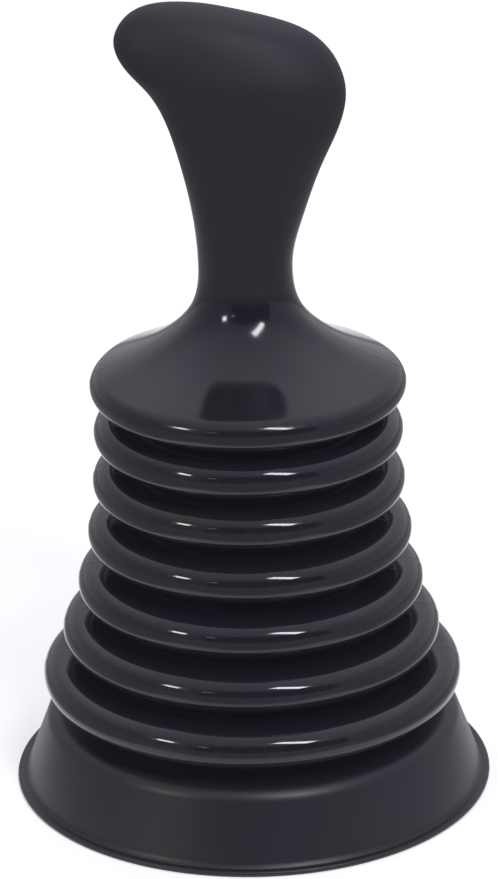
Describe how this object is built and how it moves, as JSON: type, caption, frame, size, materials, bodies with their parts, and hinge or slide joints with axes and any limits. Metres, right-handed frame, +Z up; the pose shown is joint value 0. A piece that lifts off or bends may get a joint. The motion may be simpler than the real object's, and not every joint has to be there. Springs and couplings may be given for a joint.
{
  "type": "sink plunger",
  "caption": "Hollow moulded sink plunger: palm grip with a horn, bellows of round folds that close and lean, and a flared cup with a thin lip.",
  "frame": {"origin": "on the bellows axis, in the plane of the rim's underside", "axes": "+Z up along the bellows axis, the grip's horn points along -X, the object is symmetric about the XZ plane"},
  "size_m": [0.14, 0.14, 0.2353],
  "materials": {
    "bellows_plastic": "glossy black blow-moulded polyethylene with a moulded skin",
    "grip_plastic": "satin-gloss black blow-moulded polyethylene, a little duller than the folds"
  },
  "bodies": {
    "cup": {"cup_skirt": "bellows_plastic", "rim_lip": "bellows_plastic", "hinge_ring_6": "bellows_plastic"},
    "fold_6": {"bellows_fold_6": "bellows_plastic"},
    "ring_5": {"hinge_ring_5": "bellows_plastic"},
    "fold_5": {"bellows_fold_5": "bellows_plastic"},
    "ring_4": {"hinge_ring_4": "bellows_plastic"},
    "fold_4": {"bellows_fold_4": "bellows_plastic"},
    "ring_3": {"hinge_ring_3": "bellows_plastic"},
    "fold_3": {"bellows_fold_3": "bellows_plastic"},
    "ring_2": {"hinge_ring_2": "bellows_plastic"},
    "fold_2": {"bellows_fold_2": "bellows_plastic"},
    "ring_1": {"hinge_ring_1": "bellows_plastic"},
    "fold_1": {"bellows_fold_1": "bellows_plastic"},
    "ring_0": {"hinge_ring_0": "bellows_plastic"},
    "handle": {"grip": "grip_plastic", "shoulder_dome": "grip_plastic"}
  },
  "joints": [
    {"name": "lean_6", "type": "hinge", "parent": "cup", "child": "fold_6", "pos_m": [0, 0, 0.0249], "axis": [0, 1, 0], "range_deg": [-1.8, 1.8], "stiffness_Nm_per_rad": 21, "deforming": ["hinge_ring_6"]},
    {"name": "squeeze_6", "type": "slide", "parent": "fold_6", "child": "ring_5", "axis": [0, 0, 1], "range_m": [-0.00726, 0], "stiffness_N_per_m": 7200, "deforming": ["bellows_fold_6"]},
    {"name": "lean_5", "type": "hinge", "parent": "ring_5", "child": "fold_5", "pos_m": [0, 0, 0.0405], "axis": [0, 1, 0], "range_deg": [-1.8, 1.8], "stiffness_Nm_per_rad": 21, "deforming": ["hinge_ring_5"]},
    {"name": "squeeze_5", "type": "slide", "parent": "fold_5", "child": "ring_4", "axis": [0, 0, 1], "range_m": [-0.00666, 0], "stiffness_N_per_m": 7200, "deforming": ["bellows_fold_5"]},
    {"name": "lean_4", "type": "hinge", "parent": "ring_4", "child": "fold_4", "pos_m": [0, 0, 0.055], "axis": [0, 1, 0], "range_deg": [-1.8, 1.8], "stiffness_Nm_per_rad": 21, "deforming": ["hinge_ring_4"]},
    {"name": "squeeze_4", "type": "slide", "parent": "fold_4", "child": "ring_3", "axis": [0, 0, 1], "range_m": [-0.00704, 0], "stiffness_N_per_m": 7200, "deforming": ["bellows_fold_4"]},
    {"name": "lean_3", "type": "hinge", "parent": "ring_3", "child": "fold_3", "pos_m": [0, 0, 0.0702], "axis": [0, 1, 0], "range_deg": [-1.8, 1.8], "stiffness_Nm_per_rad": 21, "deforming": ["hinge_ring_3"]},
    {"name": "squeeze_3", "type": "slide", "parent": "fold_3", "child": "ring_2", "axis": [0, 0, 1], "range_m": [-0.00726, 0], "stiffness_N_per_m": 7200, "deforming": ["bellows_fold_3"]},
    {"name": "lean_2", "type": "hinge", "parent": "ring_2", "child": "fold_2", "pos_m": [0, 0, 0.0858], "axis": [0, 1, 0], "range_deg": [-1.8, 1.8], "stiffness_Nm_per_rad": 21, "deforming": ["hinge_ring_2"]},
    {"name": "squeeze_2", "type": "slide", "parent": "fold_2", "child": "ring_1", "axis": [0, 0, 1], "range_m": [-0.00712, 0], "stiffness_N_per_m": 7200, "deforming": ["bellows_fold_2"]},
    {"name": "lean_1", "type": "hinge", "parent": "ring_1", "child": "fold_1", "pos_m": [0, 0, 0.10115], "axis": [0, 1, 0], "range_deg": [-1.8, 1.8], "stiffness_Nm_per_rad": 21, "deforming": ["hinge_ring_1"]},
    {"name": "squeeze_1", "type": "slide", "parent": "fold_1", "child": "ring_0", "axis": [0, 0, 1], "range_m": [-0.00677, 0], "stiffness_N_per_m": 7200, "deforming": ["bellows_fold_1"]},
    {"name": "lean_0", "type": "hinge", "parent": "ring_0", "child": "handle", "pos_m": [0, 0, 0.11585], "axis": [0, 1, 0], "range_deg": [-1.8, 1.8], "stiffness_Nm_per_rad": 21, "deforming": ["hinge_ring_0"]}
  ],
  "couplings": [
    {"joint": "lean_5", "follows": "lean_6", "ratio": 1},
    {"joint": "lean_4", "follows": "lean_6", "ratio": 1},
    {"joint": "lean_3", "follows": "lean_6", "ratio": 1},
    {"joint": "lean_2", "follows": "lean_6", "ratio": 1},
    {"joint": "lean_1", "follows": "lean_6", "ratio": 1},
    {"joint": "lean_0", "follows": "lean_6", "ratio": 1},
    {"joint": "squeeze_5", "follows": "squeeze_6", "ratio": 0.91667},
    {"joint": "squeeze_4", "follows": "squeeze_6", "ratio": 0.9697},
    {"joint": "squeeze_3", "follows": "squeeze_6", "ratio": 1},
    {"joint": "squeeze_2", "follows": "squeeze_6", "ratio": 0.98106},
    {"joint": "squeeze_1", "follows": "squeeze_6", "ratio": 0.93182}
  ]
}
